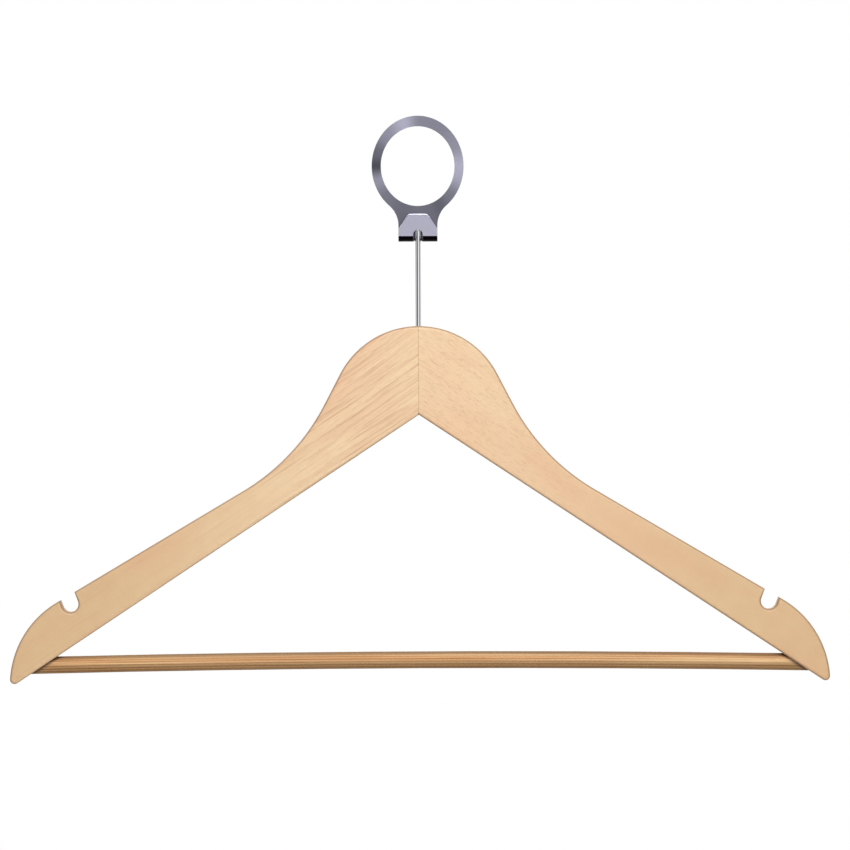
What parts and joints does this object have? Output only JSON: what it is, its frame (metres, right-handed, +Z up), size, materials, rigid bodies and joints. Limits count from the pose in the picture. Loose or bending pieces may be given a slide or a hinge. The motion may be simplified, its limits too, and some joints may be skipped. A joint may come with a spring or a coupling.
{
  "type": "security ring clothes hanger",
  "caption": "Flat wooden clothes hanger on a ball-headed swivel pin in a closed steel rail ring, with strap notches and a fluted trouser bar.",
  "frame": {"origin": "centre of the ring's rail opening, at mid-thickness of the ring plate", "axes": "+X along the shoulders to the hanger's right tip as seen from the front, -Y to the front (the side with the folded flap), +Z up"},
  "size_m": [0.4448, 0.012, 0.3077],
  "materials": {
    "ring_steel": "circular brushed, satin",
    "pin_chrome": "polished",
    "ferrule_steel": "turned",
    "arm_wood": "satin clear varnish on pale beech",
    "dowel_wood": "bare",
    "bar_wood": "satin clear varnish, fluted"
  },
  "bodies": {
    "rail_ring": {"rail_ring": "ring_steel"},
    "pin": {"ball_pin": "pin_chrome"},
    "hanger": {"pin_ferrule": "ferrule_steel", "left_arm": "arm_wood", "right_arm": "arm_wood", "joint_dowels": "dowel_wood", "trouser_bar": "bar_wood"}
  },
  "joints": [
    {"name": "swing", "type": "hinge", "parent": "rail_ring", "child": "pin", "pos_m": [0, -0.0037, -0.03264], "axis": [1, 0, 0], "range_deg": [-20, 9]},
    {"name": "swivel", "type": "hinge", "parent": "pin", "child": "hanger", "pos_m": [0, -0.0037, -0.0945], "axis": [0, 0, 1], "continuous": true}
  ]
}
